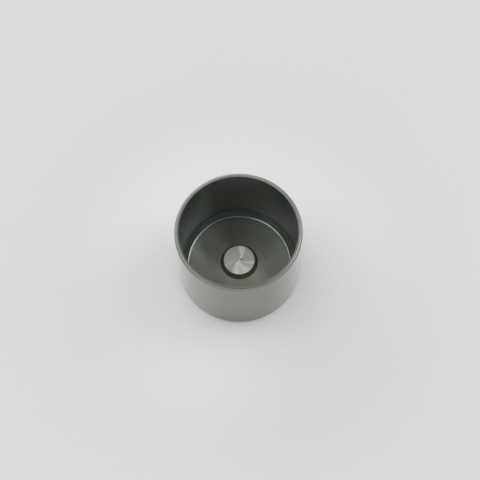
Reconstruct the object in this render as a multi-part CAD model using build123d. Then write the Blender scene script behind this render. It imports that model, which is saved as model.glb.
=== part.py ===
from build123d import *
import math
import os

os.makedirs("parts", exist_ok=True)

# A valve tappet bucket, turned and ground from one piece of steel.
# It stands on its closed end, the crown, with its open mouth upwards.
# The origin is the centre of the crown's outer face, and +Z runs along the axis.
# Sizes are in millimetres and the angle is in degrees.

# Outside of the bucket
outside_diameter = 31.0
overall_height = 23.0
crown_chamfer = 0.55

# Skirt, the thin wall that slides in its guide, and its rim
skirt_wall = 1.05
rim_round = 0.65
rim_chamfer = 0.05

# Root, the sloping shoulder that thickens the wall where it meets the crown
root_width = 1.2
root_slope = 50.0
root_blend = 0.25
root_fillet = 0.5

# Crown, which is thinnest at the root and rises as a shallow cone to the pad
crown_edge_thickness = 1.55
crown_rise = 1.45

# Pad, the raised face that rests on the end of the valve stem
pad_diameter = 7.9
pad_rise = 1.1
pad_flank_width = 0.9
pad_foot_fillet = 0.25

# Radii worked out from those sizes
outer_radius = outside_diameter / 2
bore_radius = outer_radius - skirt_wall
root_foot_radius = bore_radius - root_width
pad_radius = pad_diameter / 2
pad_foot_radius = pad_radius + pad_flank_width

# Heights above the crown's outer face
root_top = crown_edge_thickness + root_width * math.tan(math.radians(root_slope))
pad_foot = crown_edge_thickness + crown_rise
pad_top = pad_foot + pad_rise

# Half of the section, once round from the centre of the outer face.
# Each corner is its radius, its height and the rounding of the corner.
section_corners = [
    (0, 0, 0),
    (outer_radius - crown_chamfer, 0, 0),
    (outer_radius, crown_chamfer, 0),
    (outer_radius, overall_height, rim_round),
    (bore_radius + rim_chamfer, overall_height, 0),
    (bore_radius, overall_height - rim_chamfer, 0),
    (bore_radius, root_top, root_blend),
    (root_foot_radius, crown_edge_thickness, root_fillet),
    (pad_foot_radius, pad_foot, pad_foot_fillet),
    (pad_radius, pad_top, 0),
    (0, pad_top, 0),
]


def turned_section():
    """The half section as a face that stands on the XZ plane."""
    places = [(radius, height) for radius, height, rounding in section_corners]
    roundings = [rounding for radius, height, rounding in section_corners]
    with BuildSketch(Plane.XZ) as section:
        with BuildLine():
            FilletPolyline(*places, radius=roundings, close=True)
        make_face()
    return section.sketch


def tappet_bucket():
    """One solid, turned about the axis."""
    return revolve(turned_section(), axis=Axis.Z, revolution_arc=360)


export_step(tappet_bucket(), "parts/tappet_bucket.step")
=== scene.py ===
import math

import bpy
from mathutils import Matrix, Vector


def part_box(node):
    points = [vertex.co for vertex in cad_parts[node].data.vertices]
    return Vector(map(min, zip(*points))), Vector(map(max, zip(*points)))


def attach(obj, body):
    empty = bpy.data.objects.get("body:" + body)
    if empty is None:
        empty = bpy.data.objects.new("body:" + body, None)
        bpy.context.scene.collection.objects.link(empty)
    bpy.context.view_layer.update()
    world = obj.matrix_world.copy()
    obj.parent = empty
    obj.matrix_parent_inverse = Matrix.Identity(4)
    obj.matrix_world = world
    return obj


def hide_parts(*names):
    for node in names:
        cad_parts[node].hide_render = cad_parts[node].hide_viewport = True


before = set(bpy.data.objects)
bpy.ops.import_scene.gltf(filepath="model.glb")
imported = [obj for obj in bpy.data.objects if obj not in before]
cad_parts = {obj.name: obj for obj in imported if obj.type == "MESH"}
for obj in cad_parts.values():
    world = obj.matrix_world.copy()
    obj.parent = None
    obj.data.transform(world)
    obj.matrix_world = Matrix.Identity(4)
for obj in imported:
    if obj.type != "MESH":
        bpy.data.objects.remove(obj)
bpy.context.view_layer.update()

# A steel valve tappet bucket, standing on its closed end on a pale floor.
# Meshes are in metres. Sizes in the dictionaries are in millimetres and angles in degrees,
# unless a note gives another unit.
mm = 0.001
bucketName = "tappet_bucket"
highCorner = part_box(bucketName)[1]
outsideRadius = highCorner.x
bucketHeight = highCorner.z
print("frame loaded, bucket radius", round(outsideRadius / mm, 2),
      "height", round(bucketHeight / mm, 2))


# One socket of a node tree. Sums with it add Math nodes.
class Wire:
    def __init__(self, tree, socket):
        self.tree = tree
        self.socket = socket

    def math(self, operation, *others):
        sockets = dict(enumerate((self, *others)))
        return addNode(self.tree, "ShaderNodeMath", {"operation": operation}, sockets)

    def mathAfter(self, operation, first):
        sockets = {0: first, 1: self}
        return addNode(self.tree, "ShaderNodeMath", {"operation": operation}, sockets)

    def output(self, name):
        return Wire(self.tree, self.socket.node.outputs[name])

    def __add__(self, other):
        return self.math("ADD", other)

    def __sub__(self, other):
        return self.math("SUBTRACT", other)

    def __rsub__(self, other):
        return self.mathAfter("SUBTRACT", other)

    def __mul__(self, other):
        return self.math("MULTIPLY", other)

    def __truediv__(self, other):
        return self.math("DIVIDE", other)

    def __rtruediv__(self, other):
        return self.mathAfter("DIVIDE", other)

    __radd__ = __add__
    __rmul__ = __mul__


# A node from its type, its settings, which go first, and the values or wires of its sockets.
# The setting "choices" is how many items an Index Switch has.
# The answer is the wire of one output.
def addNode(tree, kind, settings=None, sockets=None, output=0):
    node = tree.nodes.new(kind)
    for name, value in (settings or {}).items():
        if name == "choices":
            while len(node.index_switch_items) < value:
                node.index_switch_items.new()
        else:
            setattr(node, name, value)
    for name, value in (sockets or {}).items():
        socket = node.inputs[name]
        if isinstance(value, Wire):
            tree.links.new(value.socket, socket)
        else:
            socket.default_value = value
    return Wire(tree, node.outputs[output])


# A direction from its azimuth, which runs from the back of the view round by the left,
# and its angle from straight up
def directionTo(azimuth, fromZenith):
    turn = math.radians(azimuth)
    tilt = math.radians(fromZenith)
    return Vector((-math.sin(turn) * math.sin(tilt), math.cos(turn) * math.sin(tilt),
                   math.cos(tilt)))


# How far a value has come from its start, 0, to its end, 1, with no sharp change at either
def softStep(tree, value, start, end):
    return addNode(tree, "ShaderNodeMapRange", {"interpolation_type": "SMOOTHSTEP"},
                   {"Value": value, "From Min": start, "From Max": end})


# A mix of two colours. A Mix node has its colours on sockets 6 and 7, and answers on output 2.
def mixColours(tree, share, first, second, blend="MIX"):
    return addNode(tree, "ShaderNodeMix", {"data_type": "RGBA", "blend_type": blend},
                   {0: share, 6: first, 7: second}, 2)


# How far a direction lies in a soft round patch: 1 within its inner angle and 0 past its outer
def cover(tree, direction, centre, patch):
    nearness = addNode(tree, "ShaderNodeVectorMath", {"operation": "DOT_PRODUCT"},
                       {0: direction, 1: centre}, "Value")
    return softStep(tree, nearness, math.cos(math.radians(patch["outer"])),
                    math.cos(math.radians(patch["inner"])))


# Camera, fitted to the rim, the bottom edge, the ring and the pad. Its distance and shifts are
# in outer radii, from the middle of the full circle that lies a circle drop below the rim's top.
view = {
    "elevation": 66.8,
    "distance": 16.57,
    "focalPixels": 1064.0,
    "sideShift": -0.023,
    "downShift": -0.1311,
    "roll": -1.19,
    "circleDrop": 0.73,
    "clipStart": 10.0,
}
imagePixels = 480
sensorWidth = 36.0


def makeCamera():
    radius = outsideRadius
    tilt = math.radians(view["elevation"])
    roll = math.radians(view["roll"])
    right = Vector((1, 0, 0))
    down = Vector((0, -math.sin(tilt), -math.cos(tilt)))
    forward = Vector((0, math.cos(tilt), -math.sin(tilt)))
    cosine, sine = math.cos(roll), math.sin(roll)
    side = cosine * view["sideShift"] + sine * view["downShift"]
    drop = cosine * view["downShift"] - sine * view["sideShift"]
    circleCentre = Vector((0, 0, bucketHeight - view["circleDrop"] * mm))
    place = circleCentre - (right * side + down * drop + forward * view["distance"]) * radius
    turnedRight = cosine * right - sine * down
    turnedDown = sine * right + cosine * down
    matrix = Matrix((turnedRight, -turnedDown, -forward)).transposed().to_4x4()
    matrix.translation = place
    data = bpy.data.cameras.new("camera")
    data.sensor_width = sensorWidth
    data.lens = view["focalPixels"] * sensorWidth / imagePixels
    data.clip_start = view["clipStart"] * mm
    camera = bpy.data.objects.new("camera", data)
    bpy.context.scene.collection.objects.link(camera)
    camera.matrix_world = matrix
    bpy.context.scene.camera = camera


makeCamera()
print("camera placed")


# Section of the bucket, turned round the axis in facets. Bore Foot has no shape of its own:
# it is how much of the bore, just above the root, has a duller finish.
bucketSizes = {
    "Outside Radius": outsideRadius / mm,
    "Height": bucketHeight / mm,
    "Crown Chamfer": 0.55,
    "Skirt Wall": 1.05,
    "Rim Round": 0.65,
    "Rim Chamfer": 0.05,
    "Bore Foot": 0.6,
    "Root Width": 1.2,
    "Root Slope": 50.0,
    "Root Blend": 0.25,
    "Root Fillet": 0.5,
    "Ring Width": 0.35,
    "Crown Edge Thickness": 1.55,
    "Crown Rise": 1.45,
    "Pad Radius": 3.95,
    "Pad Rise": 1.1,
    "Pad Flank Width": 0.9,
    "Pad Foot Fillet": 0.25,
    "Pad Edge Break": 0.06,
}
bucketFacets = {"Round The Axis": 384, "In Each Fillet": 8}
sharpFold = 20.0  # an edge that is folded more than this stays crisp
mergeDistance = 0.001  # points nearer than this become one, at the seam and at the poles
finishOrder = ["skirt", "rim", "bore", "bore foot", "root", "ring", "floor", "flank", "pad",
               "crown"]


# The section's corners from the crown's middle round to the pad's middle:
# radius, height, rounding of the corner, and the finish from there to the next corner
def sectionCorners(size):
    outer = size["Outside Radius"]
    height = size["Height"]
    bore = outer - size["Skirt Wall"]
    rootFoot = bore - size["Root Width"]
    edge = size["Crown Edge Thickness"]
    slope = (size["Root Slope"] * math.radians(1)).math("TANGENT")
    rootTop = edge + size["Root Width"] * slope
    padFoot = edge + size["Crown Rise"]
    padTop = padFoot + size["Pad Rise"]
    pad = size["Pad Radius"]
    floorSlope = size["Crown Rise"] / (rootFoot - pad - size["Pad Flank Width"])
    return [
        (0, 0, 0, "crown"),
        (outer - size["Crown Chamfer"], 0, 0, "skirt"),
        (outer, size["Crown Chamfer"], 0, "skirt"),
        (outer, height, size["Rim Round"], "rim"),
        (bore + size["Rim Chamfer"], height, 0, "rim"),
        (bore, height - size["Rim Chamfer"], 0, "bore"),
        (bore, rootTop + size["Bore Foot"], 0, "bore foot"),
        (bore, rootTop, size["Root Blend"], "root"),
        (rootFoot, edge, size["Root Fillet"], "ring"),
        (rootFoot - size["Ring Width"], edge + size["Ring Width"] * floorSlope, 0, "floor"),
        (pad + size["Pad Flank Width"], padFoot, size["Pad Foot Fillet"], "flank"),
        (pad, padTop, size["Pad Edge Break"], "pad"),
        (0, padTop, 0, "pad"),
    ]


# A tree that turns the section round the axis, closes its seam and poles, and gives each zone
# its finish
def buildTurningTree(finishes):
    tree = bpy.data.node_groups.new("turned bucket", "GeometryNodeTree")
    for name in bucketSizes:
        tree.interface.new_socket(name=name, in_out="INPUT", socket_type="NodeSocketFloat")
    for name in bucketFacets:
        tree.interface.new_socket(name=name, in_out="INPUT", socket_type="NodeSocketInt")
    tree.interface.new_socket(name="Bucket", in_out="OUTPUT", socket_type="NodeSocketGeometry")
    given = tree.nodes.new("NodeGroupInput")
    size = {name: Wire(tree, given.outputs[name]) for name in bucketSizes}
    turns = Wire(tree, given.outputs["Round The Axis"])
    filletPoints = Wire(tree, given.outputs["In Each Fillet"])

    # The section as a line with filleted corners
    corners = sectionCorners(size)
    index = addNode(tree, "GeometryNodeInputIndex")
    places, roundings, zones = {"Index": index}, {"Index": index}, {"Index": index}
    for number, (radius, height, rounding, finish) in enumerate(corners):
        place = addNode(tree, "ShaderNodeCombineXYZ", {}, {"X": radius, "Z": height})
        scaled = addNode(tree, "ShaderNodeVectorMath", {"operation": "SCALE"},
                         {0: place, "Scale": mm})
        places[number + 1] = scaled
        roundings[number + 1] = rounding * mm
        zones[number + 1] = finishOrder.index(finish)
    choices = len(corners)
    cornerPlace = addNode(tree, "GeometryNodeIndexSwitch",
                          {"data_type": "VECTOR", "choices": choices}, places)
    cornerRound = addNode(tree, "GeometryNodeIndexSwitch",
                          {"data_type": "FLOAT", "choices": choices}, roundings)
    cornerZone = addNode(tree, "GeometryNodeIndexSwitch",
                         {"data_type": "INT", "choices": choices}, zones)
    points = addNode(tree, "GeometryNodePoints", {}, {"Count": choices, "Position": cornerPlace})
    marked = addNode(tree, "GeometryNodeStoreNamedAttribute",
                     {"data_type": "INT", "domain": "POINT"},
                     {"Geometry": points, "Name": "zone", "Value": cornerZone})
    marked = addNode(tree, "GeometryNodeStoreNamedAttribute",
                     {"data_type": "FLOAT", "domain": "POINT"},
                     {"Geometry": marked, "Name": "rounding", "Value": cornerRound})
    line = addNode(tree, "GeometryNodePointsToCurves", {}, {"Points": marked})
    rounding = addNode(tree, "GeometryNodeInputNamedAttribute", {"data_type": "FLOAT"},
                       {"Name": "rounding"})
    section = addNode(tree, "GeometryNodeFilletCurve", {"mode": "POLY"},
                      {"Curve": line, "Count": filletPoints, "Radius": rounding,
                       "Limit Radius": False})

    # A grid with one row for each point of the section, turned round the axis
    rows = addNode(tree, "GeometryNodeAttributeDomainSize", {"component": "CURVE"},
                   {"Geometry": section})
    columns = turns + 1
    grid = addNode(tree, "GeometryNodeMeshGrid", {}, {"Vertices X": columns, "Vertices Y": rows})
    row = index.math("MODULO", rows)
    column = (index / rows).math("FLOOR")
    onSection = addNode(tree, "GeometryNodeInputPosition")
    place = addNode(tree, "GeometryNodeSampleIndex",
                    {"data_type": "FLOAT_VECTOR", "domain": "POINT"},
                    {"Geometry": section, "Value": onSection, "Index": row})
    around = addNode(tree, "ShaderNodeCombineXYZ", {}, {"Z": column * (2 * math.pi) / turns})
    turned = addNode(tree, "ShaderNodeVectorRotate", {"rotation_type": "EULER_XYZ"},
                     {"Vector": place, "Rotation": around})
    shape = addNode(tree, "GeometryNodeSetPosition", {}, {"Geometry": grid, "Position": turned})

    # Each face keeps the zone of its row, through the merging of the seam and the poles
    faceRow = index.math("MODULO", rows - 1)
    zone = addNode(tree, "GeometryNodeInputNamedAttribute", {"data_type": "INT"},
                   {"Name": "zone"})
    faceZone = addNode(tree, "GeometryNodeSampleIndex", {"data_type": "INT", "domain": "POINT"},
                       {"Geometry": section, "Value": zone, "Index": faceRow})
    shape = addNode(tree, "GeometryNodeStoreNamedAttribute",
                    {"data_type": "INT", "domain": "FACE"},
                    {"Geometry": shape, "Name": "zone", "Value": faceZone})
    shape = addNode(tree, "GeometryNodeMergeByDistance", {},
                    {"Geometry": shape, "Distance": mergeDistance * mm})
    shape = addNode(tree, "GeometryNodeSetShadeSmooth", {"domain": "FACE"},
                    {"Geometry": shape, "Shade Smooth": True})
    fold = addNode(tree, "GeometryNodeInputMeshEdgeAngle")
    isSharp = fold.math("GREATER_THAN", math.radians(sharpFold))
    shape = addNode(tree, "GeometryNodeSetShadeSmooth", {"domain": "EDGE"},
                    {"Geometry": shape, "Selection": isSharp, "Shade Smooth": False})
    shape = addNode(tree, "GeometryNodeRealizeInstances", {}, {"Geometry": shape})
    for number, name in enumerate(finishOrder):  # sockets 2 and 3 compare whole numbers
        isZone = addNode(tree, "FunctionNodeCompare", {"data_type": "INT", "operation": "EQUAL"},
                         {2: zone, 3: number})
        shape = addNode(tree, "GeometryNodeSetMaterial", {},
                        {"Geometry": shape, "Selection": isZone, "Material": finishes[name]})
    result = tree.nodes.new("NodeGroupOutput")
    tree.links.new(shape.socket, result.inputs["Bucket"])
    return tree


def turnBucket(finishes):
    tree = buildTurningTree(finishes)
    start = bpy.data.meshes.new("start")
    maker = bpy.data.objects.new("maker", start)
    bpy.context.scene.collection.objects.link(maker)
    turning = maker.modifiers.new("turning", "NODES")
    turning.node_group = tree
    for socket in tree.interface.items_tree:
        for sizes in (bucketSizes, bucketFacets):
            if socket.name in sizes:
                turning[socket.identifier] = sizes[socket.name]
    flats = maker.modifiers.new("flats", "WEIGHTED_NORMAL")
    flats.keep_sharp = True
    graph = bpy.context.evaluated_depsgraph_get()
    mesh = bpy.data.meshes.new_from_object(maker.evaluated_get(graph))
    bpy.data.objects.remove(maker)
    bpy.data.meshes.remove(start)
    mesh.name = "bucket"
    bucket = bpy.data.objects.new("bucket", mesh)
    bpy.context.scene.collection.objects.link(bucket)
    return bucket


# What all finishes of the steel share. A noise is given by its detail and its roughness.
# Bands are broad tool marks, sized in fine marks, and the limit of a painted-light sector's turn
# is a sine.
# The scratches are rotated in radians, and the grain in turns.
steelRules = {
    "noiseMiddle": 0.5,
    "markNoise": (3.0, 0.6),
    "markRoughening": 0.12,
    "bandNoise": (2.0, 0.5),
    "bandPitch": 9.0,
    "bandLength": 3.0,
    "bandContrast": 0.6,
    "feedWaver": 5.0,
    "sectorTurnLimit": 0.5,
    "stainNoise": (3.0, 0.55),
    "stainRange": (0.45, 0.75),
    "stainRoughening": 0.1,
    "scratchNoise": (1.0, 0.4),
    "scratchRotation": (0.4, 0.7, 0.5),
    "scratchScale": (0.08, 1.6, 1.6),
    "scratchWidth": 0.006,
    "scratchShine": 0.5,
    "scratchPolish": 0.08,
    "scratchDepth": 0.002,
    "grainRotation": 0.25,
    "oilRoughness": 0.15,
}
# What a finish has unless finishLooks gives its own.
# The lay says how far the tool marks step with the radius and with the height.
plainFinish = {
    "roughness": 0.28,
    "anisotropy": 0.5,
    "lay": (1, 0),
    "markPitch": 0.09,
    "markLength": 7.0,
    "markDepth": 0.0006,
    "markContrast": 0.22,
    "feedPitch": 0.16,
    "feedDepth": 0.0,
    "stainSize": 6.0,
    "stainTint": (0.84, 0.83, 0.68),
    "stainAmount": 0.35,
    "scratchAmount": 0.0,
    "oilFilm": 0.0,
    "paintedLightSectors": {},
    "sectorOffset": 0.0,
}
# Sectors are painted light and shade in a finish's colour: brighter, or darker where the gain
# is below zero. On the pad they are a painted fan of highlights, with a painted dark wedge
# near its middle.
padPaintedLight = {
    "left": {"azimuth": 127, "inner": 6, "outer": 14, "gain": 0.2},
    "front": {"azimuth": 198, "inner": 1, "outer": 50, "gain": 0.9},
    "streak in the front": {"azimuth": 201, "inner": 3, "outer": 17, "gain": -0.4},
    "right": {"azimuth": 253, "inner": 17, "outer": 26, "gain": 0.15},
    "streak at the right": {"azimuth": 268, "inner": 4, "outer": 8, "gain": 0.35},
    "back": {"azimuth": 359, "inner": 1, "outer": 21, "gain": 0.6},
    "nick": {"azimuth": 308, "inner": 10, "outer": 34, "gain": -0.35, "reach": 1.4},
}
# The ring's colour has painted highlights, brightest at its left and at its right
ringPaintedLight = {
    "left": {"azimuth": 64, "inner": 6, "outer": 40, "gain": 1.3},
    "right": {"azimuth": 327, "inner": 5, "outer": 25, "gain": 1.7},
    "front right": {"azimuth": 285, "inner": 10, "outer": 40, "gain": 0.5},
}
# On the other faces they are painted light and shade: patches of the colour made brighter or
# darker
# Painted light brightens the inner floor at the front, and painted shade darkens it at the left
# and the back
floorPaintedLight = {
    "front": {"azimuth": 190, "inner": 25, "outer": 62, "gain": 0.5},
    "left": {"azimuth": 80, "inner": 10, "outer": 40, "gain": -0.15},
    "back": {"azimuth": 2, "inner": 5, "outer": 30, "gain": -0.1},
}
# Painted shade darkens the root at the back
rootPaintedShade = {
    "back": {"azimuth": 2, "inner": 5, "outer": 40, "gain": -0.5},
}
# Painted shade darkens the skirt's middle at the front, where it mirrors the shadowed floor
skirtPaintedShade = {
    "front": {"azimuth": 187, "inner": 12, "outer": 38, "gain": -0.2},
}
# Painted light brightens the pad's flank at the back
flankPaintedLight = {
    "back": {"azimuth": 0, "inner": 30, "outer": 90, "gain": 0.8},
}
# Painted light brightens the bore's foot at the back
footPaintedLight = {
    "back": {"azimuth": 0, "inner": 10, "outer": 50, "gain": 0.4},
}
# Painted shade darkens the rim at the left, and painted light brightens it at the front and the
# back right
rimPaintedLight = {
    "left": {"azimuth": 92, "inner": 15, "outer": 50, "gain": -0.2},
    "front": {"azimuth": 183, "inner": 10, "outer": 45, "gain": 0.07},
    "back right": {"azimuth": 335, "inner": 5, "outer": 30, "gain": 0.15},
}
# Painted light brightens the bore at the left
borePaintedLight = {
    "left": {"azimuth": 50, "inner": 8, "outer": 26, "gain": 0.55},
}
finishLooks = {
    "skirt": {"colour": (0.196, 0.190, 0.156), "roughness": 0.12, "anisotropy": 0.6,
              "lay": (0, 1), "stainAmount": 0.15, "scratchAmount": 0.3, "oilFilm": 1.0,
              "paintedLightSectors": skirtPaintedShade},
    "rim": {"colour": (0.235, 0.241, 0.222), "roughness": 0.33, "anisotropy": 0.1,
            "lay": (0.6, 0.6), "scratchAmount": 0.2, "oilFilm": 0.4, "paintedLightSectors": rimPaintedLight},
    "bore": {"colour": (0.247, 0.284, 0.301), "roughness": 0.2, "lay": (0, 1),
             "markPitch": 0.12, "feedDepth": 0.0012, "paintedLightSectors": borePaintedLight},
    "bore foot": {"colour": (0.247, 0.284, 0.301), "roughness": 0.45, "lay": (0, 1),
                  "markPitch": 0.12, "paintedLightSectors": footPaintedLight},
    "root": {"colour": (0.213, 0.225, 0.200), "roughness": 0.4, "anisotropy": 0.2,
             "lay": (0.7, 0.7), "feedDepth": 0.0003, "paintedLightSectors": rootPaintedShade},
    "ring": {"colour": (0.145, 0.150, 0.140), "roughness": 0.12, "paintedLightSectors": ringPaintedLight},
    "floor": {"colour": (0.270, 0.260, 0.215), "roughness": 0.34, "anisotropy": 0.2,
              "markPitch": 0.12, "markDepth": 0.0003, "markContrast": 0.12,
              "feedDepth": 0.0004, "stainAmount": 0.25, "paintedLightSectors": floorPaintedLight},
    "flank": {"colour": (0.277, 0.262, 0.214), "roughness": 0.4, "paintedLightSectors": flankPaintedLight},
    "pad": {"colour": (0.460, 0.464, 0.413), "roughness": 0.33, "anisotropy": 0.1,
            "markLength": 2.5, "markContrast": 0.3, "stainAmount": 0.0,
            "paintedLightSectors": padPaintedLight, "sectorOffset": 0.65},
    "crown": {"colour": (0.360, 0.365, 0.335), "roughness": 0.25, "markLength": 12.0,
              "scratchAmount": 0.4},
}


def makeFinish(zone):
    look = {**steelRules, **plainFinish, **finishLooks[zone]}
    material = bpy.data.materials.new(zone + " steel")
    material.use_nodes = True
    tree = material.node_tree
    shader = tree.nodes["Principled BSDF"]

    def noise(kind, vector, scale=1.0):
        detail, rough = look[kind]
        return addNode(tree, "ShaderNodeTexNoise", {"noise_dimensions": "3D"},
                       {"Vector": vector, "Scale": scale, "Detail": detail, "Roughness": rough})

    place = addNode(tree, "ShaderNodeTexCoord", {}, {}, "Object")
    inMillimetres = addNode(tree, "ShaderNodeVectorMath", {"operation": "SCALE"},
                            {0: place, "Scale": 1 / mm})
    parts = addNode(tree, "ShaderNodeSeparateXYZ", {}, {0: inMillimetres})
    x, y, z = (parts.output(axis) for axis in "XYZ")
    radius = (x * x + y * y).math("SQRT")
    layRadius, layHeight = look["lay"]
    across = radius * layRadius + z * layHeight

    # Fine marks and broad bands run round the axis, and the tool's feed ripples across the lay
    pitch = look["markPitch"]
    length = look["markLength"]
    markPlace = addNode(tree, "ShaderNodeCombineXYZ", {},
                        {"X": across / pitch, "Y": x / length, "Z": y / length})
    marks = noise("markNoise", markPlace) - look["noiseMiddle"]
    bandPitch = pitch * look["bandPitch"]
    bandLength = length * look["bandLength"]
    bandPlace = addNode(tree, "ShaderNodeCombineXYZ", {},
                        {"X": across / bandPitch, "Y": x / bandLength, "Z": y / bandLength})
    bands = noise("bandNoise", bandPlace) - look["noiseMiddle"]
    feedTurn = across * (2 * math.pi / look["feedPitch"])
    feed = (feedTurn + bands * look["feedWaver"]).math("SINE")
    height = marks * look["markDepth"] + feed * look["feedDepth"]

    # Painted light and shade, each in a sector round the axis, whose straight edges pass it at
    # the offset
    paintedLightSectors = 0
    if look["paintedLightSectors"]:
        offset = (look["sectorOffset"] / radius).math("MINIMUM", look["sectorTurnLimit"])
        turn = offset.math("ARCSINE")
        outwards = addNode(tree, "ShaderNodeCombineXYZ", {}, {"X": x, "Y": y})
        outwards = addNode(tree, "ShaderNodeVectorMath", {"operation": "NORMALIZE"},
                           {0: outwards})
        outwards = addNode(tree, "ShaderNodeVectorRotate", {"rotation_type": "Z_AXIS"},
                           {"Vector": outwards, "Angle": turn})
    for sector in look["paintedLightSectors"].values():
        centre = directionTo(sector["azimuth"], 90)
        shine = cover(tree, outwards, centre, sector) * sector["gain"]
        if "reach" in sector:
            shine = shine * softStep(tree, radius, sector["reach"], sector["reach"] / 2)
        paintedLightSectors = shine + paintedLightSectors

    # Stains and a few scratches
    stainCloud = noise("stainNoise", inMillimetres, 1 / look["stainSize"])
    stains = softStep(tree, stainCloud, *look["stainRange"]) * look["stainAmount"]
    scratchPlace = addNode(tree, "ShaderNodeMapping", {"vector_type": "POINT"},
                           {"Vector": inMillimetres, "Rotation": look["scratchRotation"],
                            "Scale": look["scratchScale"]})
    scratchLine = noise("scratchNoise", scratchPlace) - look["noiseMiddle"]
    besideScratches = softStep(tree, scratchLine.math("ABSOLUTE"), 0, look["scratchWidth"])
    scratches = (1 - besideScratches) * look["scratchAmount"]

    # The colour's shade holds the grain, the scratches and the painted light and shade of each
    # sector
    grain = (marks + bands * look["bandContrast"]) * look["markContrast"]
    shade = 1 + grain + paintedLightSectors + scratches * look["scratchShine"]
    shadeColour = addNode(tree, "ShaderNodeCombineColor", {}, {0: shade, 1: shade, 2: shade})
    stainColour = [part * tint for part, tint in zip(look["colour"], look["stainTint"])]
    stained = mixColours(tree, stains, (*look["colour"], 1), (*stainColour, 1))
    colour = mixColours(tree, 1, stained, shadeColour, "MULTIPLY")
    roughness = look["roughness"] + marks * look["markRoughening"]
    roughness = roughness + stains * look["stainRoughening"] - scratches * look["scratchPolish"]
    normal = addNode(tree, "ShaderNodeBump", {},
                     {"Strength": 1.0, "Distance": mm,
                      "Height": height - scratches * look["scratchDepth"]})
    tree.links.new(colour.socket, shader.inputs["Base Color"])
    tree.links.new(roughness.socket, shader.inputs["Roughness"])
    tree.links.new(normal.socket, shader.inputs["Normal"])
    shader.inputs["Metallic"].default_value = 1.0
    shader.inputs["Anisotropic"].default_value = look["anisotropy"]
    shader.inputs["Anisotropic Rotation"].default_value = look["grainRotation"]
    shader.inputs["Coat Weight"].default_value = look["oilFilm"]
    shader.inputs["Coat Roughness"].default_value = look["oilRoughness"]
    return material


finishes = {zone: makeFinish(zone) for zone in finishOrder}
print("finishes made:", ", ".join(finishes))
bucket = turnBucket(finishes)
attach(bucket, "root")
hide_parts(bucketName)
print("bucket turned,", len(bucket.data.polygons), "faces")

# Floor, a pale sheet with a painted pool of light: it is a little brighter near the bucket. The
# radii are those within which it has its near colour and past which it has its far colour.
floorSettings = {
    "halfWidth": 2000.0,
    "nearColour": (0.770, 0.789, 0.776, 1),
    "farColour": (0.627, 0.638, 0.631, 1),
    "nearRadius": 8.0,
    "farRadius": 50.0,
    "roughness": 0.9,
    "specular": 0.2,
}


def makeFloor():
    half = floorSettings["halfWidth"] * mm
    mesh = bpy.data.meshes.new("floor")
    corners = [(-half, -half, 0), (half, -half, 0), (half, half, 0), (-half, half, 0)]
    mesh.from_pydata(corners, [], [(0, 1, 2, 3)])
    floor = bpy.data.objects.new("floor", mesh)
    bpy.context.scene.collection.objects.link(floor)
    material = bpy.data.materials.new("pale floor")
    material.use_nodes = True
    tree = material.node_tree
    place = addNode(tree, "ShaderNodeTexCoord", {}, {}, "Object")
    radius = addNode(tree, "ShaderNodeVectorMath", {"operation": "LENGTH"}, {0: place}, "Value")
    farness = softStep(tree, radius, floorSettings["nearRadius"] * mm,
                       floorSettings["farRadius"] * mm)
    colour = mixColours(tree, farness, floorSettings["nearColour"], floorSettings["farColour"])
    shader = tree.nodes["Principled BSDF"]
    tree.links.new(colour.socket, shader.inputs["Base Color"])
    shader.inputs["Roughness"].default_value = floorSettings["roughness"]
    shader.inputs["Specular IOR Level"].default_value = floorSettings["specular"]
    mesh.materials.append(material)


makeFloor()
print("floor laid")

# Light. The studio is a soft even light. Large panels add to it, and two dark places take a
# share of it away: the ceiling over the object and the front of the room.
studioLevel = 0.87
panels = {
    "left softbox": {"azimuth": 76, "fromZenith": 41, "inner": 5, "outer": 25, "adds": 1.6},
    "right softbox": {"azimuth": -71, "fromZenith": 45, "inner": 8, "outer": 25, "adds": 1.9},
    "back wall": {"azimuth": 33, "fromZenith": 82, "inner": 17, "outer": 50, "adds": 1.3},
    "front softbox": {"azimuth": 143, "fromZenith": 26, "inner": 6, "outer": 30, "adds": 1.0},
    "front wall": {"azimuth": 165, "fromZenith": 74, "inner": 10, "outer": 40, "adds": 0.45},
}
darkPlaces = {
    "ceiling": {"azimuth": 145, "fromZenith": 6, "inner": 8, "outer": 36, "takes": 0.8},
    "front of the room": {"azimuth": 169, "fromZenith": 50, "inner": 11, "outer": 36,
                          "takes": 0.36},
}


def makeWorld():
    world = bpy.data.worlds.new("studio")
    world.use_nodes = True
    tree = world.node_tree
    tree.nodes.clear()
    direction = addNode(tree, "ShaderNodeTexCoord", {}, {}, "Generated")

    def coverOf(patch):
        return cover(tree, direction, directionTo(patch["azimuth"], patch["fromZenith"]), patch)

    strength = studioLevel + sum(coverOf(patch) * patch["adds"] for patch in panels.values())
    for patch in darkPlaces.values():
        strength = strength * (1 - coverOf(patch) * patch["takes"])
    light = addNode(tree, "ShaderNodeBackground", {},
                    {"Color": (1, 1, 1, 1), "Strength": strength})
    output = tree.nodes.new("ShaderNodeOutputWorld")
    tree.links.new(light.socket, output.inputs["Surface"])
    bpy.context.scene.world = world


makeWorld()
print("light set")

bpy.context.scene.view_settings.view_transform = "Standard"
print("scene finished")
